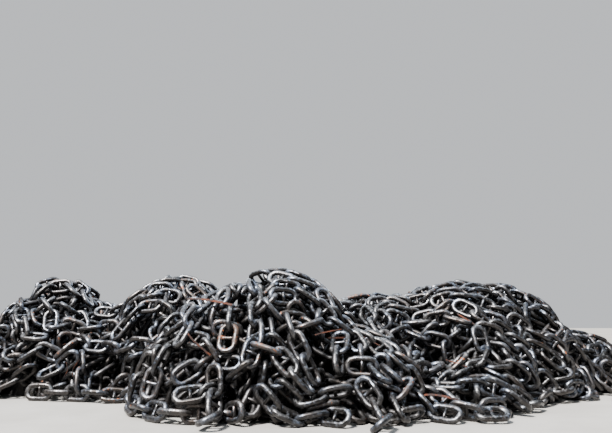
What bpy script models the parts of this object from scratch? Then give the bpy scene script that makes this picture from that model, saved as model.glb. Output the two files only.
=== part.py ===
# Heap of stud-link anchor chain, thrown down loose on level ground.
# Metres, +Z up. The heap is long in X, its front faces -Y, and it stands on z = 0
# with the origin under the middle of its box.

import math

import bmesh
import bpy
from mathutils import Matrix, Vector
from mathutils.bvhtree import BVHTree

# The round steel that a link is forged from. The other sizes of a link are stated in bars.
BAR = 0.084
LINK_LENGTH_IN_BARS = 6.0
LINK_WIDTH_IN_BARS = 3.6
STUD_IN_BARS = 0.62
# Two crowns that bear on each other are worn into one another by this much.
CROWN_WEAR_IN_BARS = 0.1

LINK_LENGTH = BAR * LINK_LENGTH_IN_BARS
LINK_WIDTH = BAR * LINK_WIDTH_IN_BARS
STUD_DIAMETER = BAR * STUD_IN_BARS
CROWN_RADIUS = (LINK_WIDTH - BAR) / 2
STRAIGHT_LENGTH = LINK_LENGTH - LINK_WIDTH
JOINT_SPACING = LINK_LENGTH - 2 * BAR + BAR * CROWN_WEAR_IN_BARS

# Links of a lying chain lean half way over, each the other way, which sets how thick it lies.
LEAN = math.radians(45)
CHAIN_HALF_THICKNESS = CROWN_RADIUS * math.sin(LEAN) + BAR / 2

# Facets of the round shapes. A count of 10 along the ring leaves a facet to stretch at each waist.
RING_SEGMENTS = 10
BAR_SIDES = 6
STUD_SIDES = 4

# Nothing touches: what lies on something else clears it by this gap.
GAP = 0.0003

# The heap's outer surface is a union of domes: x, y, reach in x, reach in y, height.
MOUNDS = {
    "left_end": (-5.75, 0.85, 1.35, 1.50, 1.30),
    "left_peak": (-4.60, 0.90, 1.35, 1.75, 2.10),
    "left_saddle": (-3.35, 0.75, 1.60, 1.75, 1.55),
    "left_back": (-2.15, 0.55, 1.55, 1.90, 2.15),
    "middle_left": (-1.15, -1.40, 1.30, 1.60, 1.70),
    "middle_peak": (-0.15, -1.25, 1.50, 1.95, 2.15),
    "middle_right": (1.05, -1.60, 1.25, 1.60, 1.20),
    "saddle": (1.40, 0.05, 1.60, 1.90, 1.78),
    "right_peak": (2.95, 0.25, 1.70, 2.20, 2.00),
    "right_back": (4.00, 0.75, 1.60, 2.00, 1.95),
    "right_end": (5.45, 1.45, 1.60, 1.80, 1.10),
    "front_tail": (2.45, -1.55, 1.30, 1.30, 0.70),
}
# A dome's profile is (1 - r2) to this power: 0.5 is an ellipsoid, 1 is a parabola.
DOME_POWER = 0.62
# Domes run into each other as a power mean. A higher power leaves a sharper valley.
VALLEY_POWER = 8.0

# How far below the heap's outer surface the hidden chain starts, and the cell of its grid.
CORE_DEPTH = 0.20
CORE_CELL = 0.34

# Chain runs seen on the surface, as they are laid from below upwards:
# start x, start y, heading in degrees, turn in degrees a link, links, roll in degrees.
RUNS = {
    "foot_left": (-4.40, -0.85, -6, -4, 4, 45),
    "foot_left_end": (-6.00, -0.55, -15, 8, 3, 40),
    "foot_left_corner": (-1.95, -2.70, -40, 22, 3, 35),
    "foot_front": (-0.35, -3.00, -20, 25, 2, 50),
    "foot_sweep": (1.02, -2.86, -40, -35, 3, 40),
    "tail": (2.10, -2.45, -50, 25, 3, 12),
    "tail_back": (2.80, -2.30, 5, -10, 2, 45),
    "foot_right": (4.05, -1.15, 10, 12, 3, 50),
    "end_left": (-5.85, 0.70, 178, 5, 4, 45),
    "end_right": (5.60, 1.10, 4, 8, 4, 40),
    "back_left": (-4.30, 1.90, 50, 25, 3, 45),
    "back_middle": (0.40, 1.05, 60, 15, 3, 45),
    "back_right": (3.60, 1.75, 75, -15, 4, 45),
    "back_end_left": (-5.95, 1.55, 22, -8, 4, 45),
    "back_left_low": (-3.55, 2.05, -12, 6, 4, 45),
    "back_dip": (-2.35, 1.40, -12, -4, 4, 50),
    "back_saddle": (0.55, 0.72, 12, 6, 4, 45),
    "back_right_slope": (1.70, 1.50, 0, 8, 4, 40),
    "back_right_end": (4.60, 2.20, -4, -6, 3, 45),
    "back_rim": (2.60, 1.00, 8, 4, 3, 50),
    "left_low": (-4.35, -0.55, 10, 4, 2, 30),
    "left_end_face": (-5.95, 0.20, -35, 12, 3, 60),
    "left_fall": (-3.20, -0.55, -35, 8, 3, 60),
    "left_face": (-4.10, -0.15, 5, -12, 3, 45),
    "left_hang": (-5.10, 0.25, -62, 6, 3, 50),
    "left_band": (-2.95, -0.10, -20, 4, 3, 40),
    "left_dip": (-3.75, 0.55, -10, 12, 3, 35),
    "left_top": (-4.95, 0.65, 35, -30, 4, 70),
    "back_ridge": (-2.75, 0.20, 20, -16, 4, 55),
    "saddle": (0.75, 0.10, -8, 10, 3, 45),
    "corner_drop": (-1.72, -2.35, -150, 12, 2, 55),
    "front_drop": (-1.00, -2.70, -70, -15, 3, 25),
    "front_middle": (0.10, -2.70, -35, 15, 2, 60),
    "front_right_drop": (0.78, -2.20, -100, 5, 2, 40),
    "leaning_left": (-1.26, -1.62, -108, -4, 3, 20),
    "hanging_left": (-0.82, -2.15, -92, -6, 2, 80),
    "hanging_middle": (-0.56, -1.75, -80, -2, 4, 110),
    "shoulder": (0.80, -1.75, -35, -8, 3, 30),
    "crown": (-0.35, -1.40, 14, -20, 3, 50),
    "crown_face": (-0.20, -2.00, -2, -4, 3, 45),
    "valley_right": (1.25, -0.75, -65, -6, 3, 55),
    "right_slant": (1.65, -0.85, -4, -8, 4, 50),
    "right_knot": (2.75, -1.75, 12, 6, 2, 45),
    "right_flat": (1.85, -2.25, 48, 4, 2, 70),
    "right_low": (3.05, -1.30, 2, -6, 3, 60),
    "right_face": (2.50, -0.60, 0, -6, 3, 35),
    "right_top": (2.30, -0.05, 18, -4, 4, 50),
    "right_rim": (3.95, 0.55, -10, -8, 3, 60),
    "right_fall": (3.80, -0.65, -6, 4, 3, 45),
    "right_end_face": (5.10, 0.20, 10, 10, 3, 40),
    "right_ridge": (5.00, 0.70, -4, 4, 2, 50),
}
# A run starts this far above its place and comes down in steps, the last ones halved.
DROP_HEIGHT = 0.5
MOVE_STEP = 0.02
MOVE_HALVINGS = 10

# Rusty straps that lie arched over the chain: x, y, heading in degrees, length, arch in degrees, width.
STRAPS = {
    "rusty_strap_left": (-1.18, -2.15, -24, 0.80, 20, 0.045),
    "rusty_strap_middle": (0.70, -2.30, 52, 0.90, 25, 0.025),
    "rusty_strap_right": (2.16, -2.62, -14, 0.66, 60, 0.045),
}
STRAP_THICKNESS = 0.008
STRAP_SEGMENTS = 8

COLOURS = {
    "chain_steel": ((0.085, 0.090, 0.100), 0.42, 0.90),
    "hidden_steel": ((0.030, 0.030, 0.032), 0.80, 0.60),
    "rusty_steel": ((0.360, 0.130, 0.045), 0.85, 0.20),
}


def clear_scene():
    for obj in list(bpy.data.objects):
        bpy.data.objects.remove(obj, do_unlink=True)


def new_collection(name):
    collection = bpy.data.collections.new(name)
    bpy.context.scene.collection.children.link(collection)
    return collection


def make_material(name):
    colour, roughness, metallic = COLOURS[name]
    material = bpy.data.materials.new(name)
    material.use_nodes = True
    shader = material.node_tree.nodes["Principled BSDF"]
    shader.inputs["Base Color"].default_value = (*colour, 1.0)
    shader.inputs["Roughness"].default_value = roughness
    shader.inputs["Metallic"].default_value = metallic
    return material


def add_object(name, mesh, collection, material, location=(0.0, 0.0, 0.0)):
    obj = bpy.data.objects.new(name, mesh)
    obj.location = location
    mesh.materials.clear()
    mesh.materials.append(material)
    collection.objects.link(obj)
    return obj


def evaluated_mesh(obj):
    depsgraph = bpy.context.evaluated_depsgraph_get()
    return bpy.data.meshes.new_from_object(obj.evaluated_get(depsgraph))


def dome_height(mound, x, y, inset):
    """Height of one dome drawn in by inset. It is negative past the dome's foot."""
    centre_x, centre_y, reach_x, reach_y, height = mound
    across = (x - centre_x) / (reach_x - inset)
    along = (y - centre_y) / (reach_y - inset)
    rise = 1 - across ** 2 - along ** 2
    return (height - inset) * math.copysign(abs(rise) ** DOME_POWER, rise)


def heap_height(x, y, inset):
    heights = [dome_height(mound, x, y, inset) for mound in MOUNDS.values()]
    above = [height for height in heights if height > 0]
    if not above:
        return max(heights)
    return sum(height ** VALLEY_POWER for height in above) ** (1 / VALLEY_POWER)


def lying_height(x, y):
    """Height of a chain's middle line where it lies on the hidden chain or on the ground beside it."""
    return max(heap_height(x, y, CORE_DEPTH - CHAIN_HALF_THICKNESS), CHAIN_HALF_THICKNESS)


def surface_normal(x, y):
    reach = LINK_LENGTH / 2
    slope_x = (lying_height(x + reach, y) - lying_height(x - reach, y)) / (2 * reach)
    slope_y = (lying_height(x, y + reach) - lying_height(x, y - reach)) / (2 * reach)
    return Vector((-slope_x, -slope_y, 1.0)).normalized()


def footprint():
    """Least and greatest x and y of the hidden chain."""
    left = min(x - reach + CORE_DEPTH for x, y, reach, _, _ in MOUNDS.values())
    right = max(x + reach - CORE_DEPTH for x, y, reach, _, _ in MOUNDS.values())
    front = min(y - reach + CORE_DEPTH for x, y, _, reach, _ in MOUNDS.values())
    back = max(y + reach - CORE_DEPTH for x, y, _, reach, _ in MOUNDS.values())
    return left, right, front, back


def core_mesh():
    """The chain that is out of sight, as one body: a grid raised to the heap's surface, cut at the ground."""
    left, right, front, back = footprint()
    columns = math.ceil((right - left) / CORE_CELL) + 2
    rows = math.ceil((back - front) / CORE_CELL) + 2
    bm = bmesh.new()
    bmesh.ops.create_grid(bm, x_segments=columns, y_segments=rows, size=0.5)
    middle = Vector(((left + right) / 2, (front + back) / 2, 0.0))
    for vertex in bm.verts:
        x = middle.x + vertex.co.x * columns * CORE_CELL
        y = middle.y + vertex.co.y * rows * CORE_CELL
        vertex.co = (x, y, heap_height(x, y, CORE_DEPTH))
    bmesh.ops.triangulate(bm, faces=bm.faces[:])
    everything = bm.verts[:] + bm.edges[:] + bm.faces[:]
    bmesh.ops.bisect_plane(bm, geom=everything, plane_co=(0, 0, 0), plane_no=(0, 0, 1), clear_inner=True)
    rim = [edge for edge in bm.edges if edge.is_boundary]
    bmesh.ops.edgeloop_fill(bm, edges=rim)
    bmesh.ops.recalc_face_normals(bm, faces=bm.faces[:])
    mesh = bpy.data.meshes.new("heap_core")
    bm.to_mesh(mesh)
    bm.free()
    return mesh


def link_ring():
    """A torus with its halves moved apart: the link without its stud, long in X and flat in Z."""
    bpy.ops.mesh.primitive_torus_add(
        major_radius=CROWN_RADIUS,
        minor_radius=BAR / 2,
        major_segments=RING_SEGMENTS,
        minor_segments=BAR_SIDES,
    )
    ring = bpy.context.object
    for vertex in ring.data.vertices:
        vertex.co.x += math.copysign(STRAIGHT_LENGTH / 2, vertex.co.x)
    return ring


def link_stud():
    bpy.ops.mesh.primitive_cylinder_add(
        vertices=STUD_SIDES,
        radius=STUD_DIAMETER / 2,
        depth=LINK_WIDTH - BAR,
        rotation=(math.pi / 2, 0, 0),
    )
    return bpy.context.object


def hide_as_guide(obj, guides):
    for collection in list(obj.users_collection):
        collection.objects.unlink(obj)
    guides.objects.link(obj)
    obj.hide_render = True
    obj.display_type = "WIRE"


def union_mesh(body, others, guides):
    """The closed mesh of a body and the other bodies that reach into it. The bodies are used up."""
    joined = bpy.data.collections.new("joined")
    guides.children.link(joined)
    for other in others:
        hide_as_guide(other, joined)
    union = body.modifiers.new("union", "BOOLEAN")
    union.operation = "UNION"
    union.solver = "EXACT"
    union.operand_type = "COLLECTION"
    union.collection = joined
    mesh = evaluated_mesh(body)
    for used in [body, *others]:
        bpy.data.objects.remove(used, do_unlink=True)
    bpy.data.collections.remove(joined)
    return mesh


def link_mesh(guides):
    return union_mesh(link_ring(), [link_stud()], guides)


def next_joint(joint, heading):
    """The point on the lying surface one joint spacing away, found by halving the step in plan."""
    near = 0.0
    far = JOINT_SPACING
    for _ in range(24):
        step = (near + far) / 2
        x = joint.x + step * math.cos(heading)
        y = joint.y + step * math.sin(heading)
        point = Vector((x, y, lying_height(x, y)))
        if (point - joint).length > JOINT_SPACING:
            far = step
        else:
            near = step
    return joint + (point - joint).normalized() * JOINT_SPACING


def joint_points(x, y, heading, turn, links):
    joints = [Vector((x, y, lying_height(x, y)))]
    for count in range(links):
        joints.append(next_joint(joints[-1], math.radians(heading + turn * count)))
    return joints


def link_places(joints, roll):
    """A matrix for each link between two joints. Each link is rolled a quarter turn from the last."""
    places = []
    for count, (start, end) in enumerate(zip(joints, joints[1:])):
        centre = (start + end) / 2
        axis = (end - start).normalized()
        normal = surface_normal(centre.x, centre.y)
        side = normal.cross(axis).normalized()
        up = axis.cross(side)
        angle = math.radians(roll + 90 * (count % 2))
        width = side * math.cos(angle) + up * math.sin(angle)
        thin = axis.cross(width)
        turned = Matrix((axis, width, thin)).transposed().to_4x4()
        places.append(Matrix.Translation(centre) @ turned)
    return places


def run_mesh(link, places, guides):
    """One body of the run's links, fused where crown bears on crown, about the run's middle."""
    middle = sum((place.translation for place in places), Vector()) / len(places)
    bodies = []
    for place in places:
        mesh = link.copy()
        mesh.transform(Matrix.Translation(-middle) @ place)
        body = bpy.data.objects.new("link", mesh)
        guides.objects.link(body)
        bodies.append(body)
    return union_mesh(bodies[0], bodies[1:], guides), middle


def world_tree(mesh, location):
    points = [vertex.co + location for vertex in mesh.vertices]
    faces = [polygon.vertices[:] for polygon in mesh.polygons]
    return BVHTree.FromPolygons(points, faces)


def is_clear(mesh, location, supports):
    if min(vertex.co.z for vertex in mesh.vertices) + location.z < 0:
        return False
    tree = world_tree(mesh, location)
    return not any(tree.overlap(support) for support in supports)


def move_until_met(mesh, location, direction, supports):
    """Moves a body along a direction as far as it goes, and back by the gap."""
    while is_clear(mesh, location + direction * MOVE_STEP, supports):
        location = location + direction * MOVE_STEP
    step = MOVE_STEP
    for _ in range(MOVE_HALVINGS):
        step /= 2
        if is_clear(mesh, location + direction * step, supports):
            location = location + direction * step
    return location - direction * GAP


def seat(mesh, middle, supports):
    """The location at which a body that is lowered from above lies on the heap, or on the ground against it."""
    above = middle + Vector((0, 0, DROP_HEIGHT))
    while not is_clear(mesh, above, supports):
        above.z += MOVE_STEP
    location = move_until_met(mesh, above, Vector((0, 0, -1)), supports)
    if min(vertex.co.z for vertex in mesh.vertices) + location.z > 2 * GAP:
        return location
    heap_point = supports[0].find_nearest(location)[0]
    towards_heap = Vector((heap_point.x - location.x, heap_point.y - location.y, 0)).normalized()
    return move_until_met(mesh, location, towards_heap, supports)


def strap_sheet(length, arch, width):
    """A flat strip bent along an arc of the given angle, its middle highest."""
    bm = bmesh.new()
    bmesh.ops.create_grid(bm, x_segments=STRAP_SEGMENTS, y_segments=1, size=0.5)
    radius = length / math.radians(arch)
    for vertex in bm.verts:
        angle = vertex.co.x * math.radians(arch)
        vertex.co = (radius * math.sin(angle), vertex.co.y * width, radius * (math.cos(angle) - 1))
    mesh = bpy.data.meshes.new("strap")
    bm.to_mesh(mesh)
    bm.free()
    return mesh


def strap_mesh(name, guides):
    """The strap turned to lie on the heap's slope, and the point that it lies about."""
    x, y, heading, length, arch, width = STRAPS[name]
    sheet = bpy.data.objects.new(name + "_sheet", strap_sheet(length, arch, width))
    hide_as_guide(sheet, guides)
    thickness = sheet.modifiers.new("thickness", "SOLIDIFY")
    thickness.thickness = STRAP_THICKNESS
    mesh = evaluated_mesh(sheet)
    bpy.data.objects.remove(sheet, do_unlink=True)
    middle = Vector((x, y, lying_height(x, y)))
    axis = (next_joint(middle, math.radians(heading)) - middle).normalized()
    side = surface_normal(x, y).cross(axis).normalized()
    mesh.transform(Matrix((axis, side, axis.cross(side))).transposed().to_4x4())
    return mesh, middle


def centre_on_origin(collection):
    """Moves the whole heap so that its box stands over the origin."""
    bpy.context.view_layer.update()
    corners = []
    for obj in collection.objects:
        corners += [obj.matrix_world @ Vector(corner) for corner in obj.bound_box]
    shift_x = -(min(c.x for c in corners) + max(c.x for c in corners)) / 2
    shift_y = -(min(c.y for c in corners) + max(c.y for c in corners)) / 2
    for obj in collection.objects:
        obj.location.x += shift_x
        obj.location.y += shift_y


def build_heap():
    clear_scene()
    heap = new_collection("anchor_chain_heap")
    guides = new_collection("guides")
    materials = {name: make_material(name) for name in COLOURS}

    core = add_object("heap_core", core_mesh(), heap, materials["hidden_steel"])
    supports = [world_tree(core.data, core.location)]

    link = link_mesh(guides)
    for name, (x, y, heading, turn, links, roll) in RUNS.items():
        places = link_places(joint_points(x, y, heading, turn, links), roll)
        mesh, middle = run_mesh(link, places, guides)
        location = seat(mesh, middle, supports)
        run = add_object("chain_run_" + name, mesh, heap, materials["chain_steel"], location)
        run.data.shade_smooth()
        supports.append(world_tree(mesh, location))

    for name in STRAPS:
        mesh, middle = strap_mesh(name, guides)
        location = seat(mesh, middle, supports)
        add_object(name, mesh, heap, materials["rusty_steel"], location)
        supports.append(world_tree(mesh, location))

    centre_on_origin(heap)


build_heap()
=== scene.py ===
import itertools
import math
import time

import bpy
import numpy as np
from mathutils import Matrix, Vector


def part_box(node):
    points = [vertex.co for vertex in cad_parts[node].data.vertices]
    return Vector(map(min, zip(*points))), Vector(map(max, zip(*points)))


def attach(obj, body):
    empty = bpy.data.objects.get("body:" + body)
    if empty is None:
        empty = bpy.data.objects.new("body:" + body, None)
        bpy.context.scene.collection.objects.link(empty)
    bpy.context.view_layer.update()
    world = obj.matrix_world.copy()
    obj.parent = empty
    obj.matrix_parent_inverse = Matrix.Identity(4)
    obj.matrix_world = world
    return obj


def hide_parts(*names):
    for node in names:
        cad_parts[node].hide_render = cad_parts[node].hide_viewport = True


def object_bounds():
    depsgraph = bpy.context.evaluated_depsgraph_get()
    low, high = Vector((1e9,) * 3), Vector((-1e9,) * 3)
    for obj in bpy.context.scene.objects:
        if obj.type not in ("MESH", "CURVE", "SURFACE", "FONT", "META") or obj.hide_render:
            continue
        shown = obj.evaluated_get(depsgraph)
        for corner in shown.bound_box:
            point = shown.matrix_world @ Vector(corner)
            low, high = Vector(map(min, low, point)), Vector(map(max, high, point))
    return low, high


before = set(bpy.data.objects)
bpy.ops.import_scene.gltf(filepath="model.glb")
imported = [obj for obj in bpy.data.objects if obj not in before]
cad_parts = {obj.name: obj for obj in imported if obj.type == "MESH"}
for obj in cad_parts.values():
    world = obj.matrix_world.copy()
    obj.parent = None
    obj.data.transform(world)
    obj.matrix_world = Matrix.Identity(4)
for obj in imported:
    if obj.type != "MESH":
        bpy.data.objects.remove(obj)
cadLow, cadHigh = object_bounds()
startedAt = time.time()
print("frame loaded,", len(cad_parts), "solids")


# the link
linkSizes = {
    "bar": 0.084,  # round steel the link is forged from
    "lengthInBars": 6.0,
    "widthInBars": 3.6,
    "studInBars": 0.62,
    "crownWearInBars": 0.1,  # how far two bearing crowns are worn into each other
    "weldInRadii": 0.22,  # half the length of the flash weld
    "studFoot": 0.62,  # where the stud's feet begin, from its middle to the bar
}
bar = linkSizes["bar"]
barRadius = bar / 2
crownRadius = (linkSizes["widthInBars"] - 1) * bar / 2
halfStraight = (linkSizes["lengthInBars"] - linkSizes["widthInBars"]) * bar / 2
studRadius = linkSizes["studInBars"] * bar / 2
jointSpacing = (linkSizes["lengthInBars"] - 2 + linkSizes["crownWearInBars"]) * bar
chainHalfThickness = crownRadius * math.sin(math.radians(45)) + barRadius


def deselectAll():
    if bpy.context.object and bpy.context.object.mode != "OBJECT":
        bpy.ops.object.mode_set(mode="OBJECT")
    bpy.ops.object.select_all(action="DESELECT")


def editAll():
    bpy.ops.object.mode_set(mode="EDIT")
    bpy.ops.mesh.select_all(action="SELECT")


def closeMesh(mergeWithin=None):
    bpy.ops.mesh.select_all(action="SELECT")
    if mergeWithin:
        bpy.ops.mesh.remove_doubles(threshold=mergeWithin)
    bpy.ops.mesh.normals_make_consistent(inside=False)
    bpy.ops.object.mode_set(mode="OBJECT")


def extrudeBy(x, y, z):
    bpy.ops.mesh.extrude_region_move(TRANSFORM_OT_translate={"value": (x, y, z)})


def scaleAbout(x, y, z, centre):
    bpy.ops.transform.resize(value=(x, y, z), center_override=centre)


def drawSection(sides, radius, fill, place, tilt):
    deselectAll()
    bpy.ops.mesh.primitive_circle_add(vertices=sides, radius=radius, fill_type=fill, location=place, rotation=tilt)
    section = bpy.context.object
    bpy.ops.object.transform_apply(location=True, rotation=True, scale=True)
    editAll()
    return section


def modelBar(crownSteps, barSides, weldSwell):
    # a section of the bar is drawn round the link: straight, crown, straight, crown
    link = drawSection(barSides, barRadius, "NOTHING", (-halfStraight, crownRadius, 0), (0, math.pi / 2, 0))
    if weldSwell > 1:  # the flash weld stands proud in the middle of one side
        seam = barRadius * linkSizes["weldInRadii"]
        extrudeBy(halfStraight - seam, 0, 0)
        extrudeBy(seam, 0, 0)
        scaleAbout(1, weldSwell, weldSwell, (0, crownRadius, 0))
        extrudeBy(seam, 0, 0)
        scaleAbout(1, 1 / weldSwell, 1 / weldSwell, (seam, crownRadius, 0))
        extrudeBy(halfStraight - seam, 0, 0)
    else:
        extrudeBy(halfStraight * 2, 0, 0)
    bpy.ops.mesh.spin(steps=crownSteps, angle=math.pi, center=(halfStraight, 0, 0), axis=(0, 0, 1))
    extrudeBy(-halfStraight * 2, 0, 0)
    bpy.ops.mesh.spin(steps=crownSteps, angle=math.pi, center=(-halfStraight, 0, 0), axis=(0, 0, 1))
    closeMesh(0.001)
    return link


def modelStud(studSides, footSwell):
    # the stud that keeps the sides apart, its feet spread where they press into the bar
    foot = (crownRadius - barRadius) * linkSizes["studFoot"]
    stud = drawSection(studSides, studRadius, "NGON", (0, -crownRadius, 0), (math.pi / 2, 0, 0))
    if footSwell > 1:
        scaleAbout(footSwell, 1, footSwell, (0, -crownRadius, 0))
        extrudeBy(0, crownRadius - foot, 0)
        scaleAbout(1 / footSwell, 1, 1 / footSwell, (0, -foot, 0))
        extrudeBy(0, foot * 2, 0)
        extrudeBy(0, crownRadius - foot, 0)
        scaleAbout(footSwell, 1, footSwell, (0, crownRadius, 0))
    else:
        extrudeBy(0, crownRadius * 2, 0)
    closeMesh(0.0005)
    return stud


def modelLink(name, crownSteps, barSides, studSides, weldSwell=1.0, footSwell=1.0):
    link = modelBar(crownSteps, barSides, weldSwell)
    stud = modelStud(studSides, footSwell)
    deselectAll()
    stud.select_set(True)
    link.select_set(True)
    bpy.context.view_layer.objects.active = link
    bpy.ops.object.join()
    mesh = link.data
    pattern = {
        "points": np.array([v.co[:] for v in mesh.vertices]),
        "corners": np.array([v for p in mesh.polygons for v in p.vertices]),
        "counts": np.array([len(p.vertices) for p in mesh.polygons]),
    }
    bpy.data.objects.remove(link, do_unlink=True)
    print(name, "has", len(pattern["counts"]), "faces")
    return pattern


fineLink = modelLink("fine link", crownSteps=8, barSides=10, studSides=8, weldSwell=1.07, footSwell=1.4)
plainLink = modelLink("plain link", crownSteps=5, barSides=7, studSides=6)


# the heap's shape
heapShape = {
    # a dome for each mound: x, y, reach in x, reach in y, height
    "mounds": [
        (-5.75, 0.85, 1.35, 1.50, 1.30), (-4.60, 0.90, 1.35, 1.75, 2.10), (-3.35, 0.75, 1.60, 1.75, 1.55),
        (-2.15, 0.55, 1.55, 1.90, 2.15), (-1.15, -1.40, 1.30, 1.60, 1.70), (-0.15, -1.25, 1.50, 1.95, 2.15),
        (1.05, -1.60, 1.25, 1.60, 1.20), (1.40, 0.05, 1.60, 1.90, 1.78), (2.95, 0.25, 1.70, 2.20, 2.00),
        (4.00, 0.75, 1.60, 2.00, 1.95), (5.45, 1.45, 1.60, 1.80, 1.10), (2.45, -1.55, 1.30, 1.30, 0.70),
    ],
    "domePower": 0.62,
    "valleyPower": 8.0,
    "runDepth": 0.20,  # from the heap's outer surface to the bottom of a chain on it
    "depthLimits": (-0.3, 0.9),  # between which a point's depth is looked for
}
mounds = np.array(heapShape["mounds"])
runInset = heapShape["runDepth"] - chainHalfThickness


def heapHeight(x, y, inset):
    x = np.asarray(x, float)[..., None]
    y = np.asarray(y, float)[..., None]
    inset = np.asarray(inset, float)[..., None]
    across = (x - mounds[:, 0]) / (mounds[:, 2] - inset)
    along = (y - mounds[:, 1]) / (mounds[:, 3] - inset)
    rise = 1 - across ** 2 - along ** 2
    heights = (mounds[:, 4] - inset) * np.copysign(np.abs(rise) ** heapShape["domePower"], rise)
    highest = heights.max(axis=-1)
    power = heapShape["valleyPower"]
    smooth = (np.clip(heights, 0, None) ** power).sum(axis=-1) ** (1 / power)
    return np.where(highest > 0, smooth, highest)


def lyingHeight(x, y, inset):
    return np.maximum(heapHeight(x, y, inset), chainHalfThickness)


def surfaceNormal(x, y, inset):
    reach = halfStraight + crownRadius + barRadius
    slopeX = (lyingHeight(x + reach, y, inset) - lyingHeight(x - reach, y, inset)) / (2 * reach)
    slopeY = (lyingHeight(x, y + reach, inset) - lyingHeight(x, y - reach, inset)) / (2 * reach)
    normal = np.stack([-slopeX, -slopeY, np.ones_like(slopeX)], axis=-1)
    return normal / np.linalg.norm(normal, axis=-1, keepdims=True)


def howDeep(points):
    # how far below the heap's outer surface each point lies
    shallow, deep = (np.full(len(points), limit) for limit in heapShape["depthLimits"])
    for _ in range(20):
        middle = (shallow + deep) / 2
        covered = heapHeight(points[:, 0], points[:, 1], middle) > points[:, 2]
        shallow = np.where(covered, middle, shallow)
        deep = np.where(covered, deep, middle)
    return shallow


def linkTurn(start, end, normal, roll):
    # columns: along the link, across it, through its flat
    axis = (end - start) / np.linalg.norm(end - start)
    side = np.cross(normal, axis)
    side /= np.linalg.norm(side)
    up = np.cross(axis, side)
    angle = math.radians(roll)
    width = side * math.cos(angle) + up * math.sin(angle)
    return np.stack([axis, width, np.cross(axis, width)], axis=1)


# chain runs on the surface
chainRuns = {
    # x, y, heading, turn from link to link, how many links, roll
    "foot_left": (-4.40, -0.85, -6, -4, 4, 45),
    "foot_left_end": (-6.00, -0.55, -15, 8, 3, 40),
    "foot_left_corner": (-1.95, -2.70, -40, 22, 3, 35),
    "foot_front": (-0.35, -3.00, -20, 25, 2, 50),
    "foot_sweep": (1.02, -2.86, -40, -35, 3, 40),
    "tail": (2.10, -2.45, -50, 25, 3, 12),
    "tail_back": (2.80, -2.30, 5, -10, 2, 45),
    "foot_right": (4.05, -1.15, 10, 12, 3, 50),
    "end_left": (-5.85, 0.70, 178, 5, 4, 45),
    "end_right": (5.60, 1.10, 4, 8, 4, 40),
    "back_left": (-4.30, 1.90, 50, 25, 3, 45),
    "back_middle": (0.40, 1.05, 60, 15, 3, 45),
    "back_right": (3.60, 1.75, 75, -15, 4, 45),
    "back_end_left": (-5.95, 1.55, 22, -8, 4, 45),
    "back_left_low": (-3.55, 2.05, -12, 6, 4, 45),
    "back_dip": (-2.35, 1.40, -12, -4, 4, 50),
    "back_saddle": (0.55, 0.72, 12, 6, 4, 45),
    "back_right_slope": (1.70, 1.50, 0, 8, 4, 40),
    "back_right_end": (4.60, 2.20, -4, -6, 3, 45),
    "back_rim": (2.60, 1.00, 8, 4, 3, 50),
    "left_low": (-4.35, -0.55, 10, 4, 2, 30),
    "left_end_face": (-5.95, 0.20, -35, 12, 3, 60),
    "left_fall": (-3.20, -0.55, -35, 8, 3, 60),
    "left_face": (-4.10, -0.15, 5, -12, 3, 45),
    "left_hang": (-5.10, 0.25, -62, 6, 3, 50),
    "left_band": (-2.95, -0.10, -20, 4, 3, 40),
    "left_dip": (-3.75, 0.55, -10, 12, 3, 35),
    "left_top": (-4.95, 0.65, 35, -30, 4, 70),
    "back_ridge": (-2.75, 0.20, 20, -16, 4, 55),
    "saddle": (0.75, 0.10, -8, 10, 3, 45),
    "corner_drop": (-1.72, -2.35, -150, 12, 2, 55),
    "front_drop": (-1.00, -2.70, -70, -15, 3, 25),
    "front_middle": (0.10, -2.70, -35, 15, 2, 60),
    "front_right_drop": (0.78, -2.20, -100, 5, 2, 40),
    "leaning_left": (-1.26, -1.62, -108, -4, 3, 20),
    "hanging_left": (-0.82, -2.15, -92, -6, 2, 80),
    "hanging_middle": (-0.56, -1.75, -80, -2, 4, 110),
    "shoulder": (0.80, -1.75, -35, -8, 3, 30),
    "crown": (-0.35, -1.40, 14, -20, 3, 50),
    "crown_face": (-0.20, -2.00, -2, -4, 3, 45),
    "valley_right": (1.25, -0.75, -65, -6, 3, 55),
    "right_slant": (1.65, -0.85, -4, -8, 4, 50),
    "right_knot": (2.75, -1.75, 12, 6, 2, 45),
    "right_flat": (1.85, -2.25, 48, 4, 2, 70),
    "right_low": (3.05, -1.30, 2, -6, 3, 60),
    "right_face": (2.50, -0.60, 0, -6, 3, 35),
    "right_top": (2.30, -0.05, 18, -4, 4, 50),
    "right_rim": (3.95, 0.55, -10, -8, 3, 60),
    "right_fall": (3.80, -0.65, -6, 4, 3, 45),
    "right_end_face": (5.10, 0.20, 10, 10, 3, 40),
    "right_ridge": (5.00, 0.70, -4, 4, 2, 50),
}


def surfacePoint(x, y):
    return np.array([x, y, float(lyingHeight(x, y, runInset))])


def nextJoint(joint, heading):
    near, far = 0.0, jointSpacing
    for _ in range(24):
        step = (near + far) / 2
        point = surfacePoint(joint[0] + step * math.cos(heading), joint[1] + step * math.sin(heading))
        if np.linalg.norm(point - joint) > jointSpacing:
            far = step
        else:
            near = step
    return joint + (point - joint) / np.linalg.norm(point - joint) * jointSpacing


def layRun(x, y, heading, turn, links, roll):
    start = surfacePoint(x, y)
    centres = []
    turns = []
    for count in range(links):
        end = nextJoint(start, math.radians(heading + turn * count))
        centre = (start + end) / 2
        normal = surfaceNormal(centre[0], centre[1], runInset)
        centres.append(centre)
        turns.append(linkTurn(start, end, normal, roll + 90 * (count % 2)))
        start = end
    return np.array(centres), np.array(turns)


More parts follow.
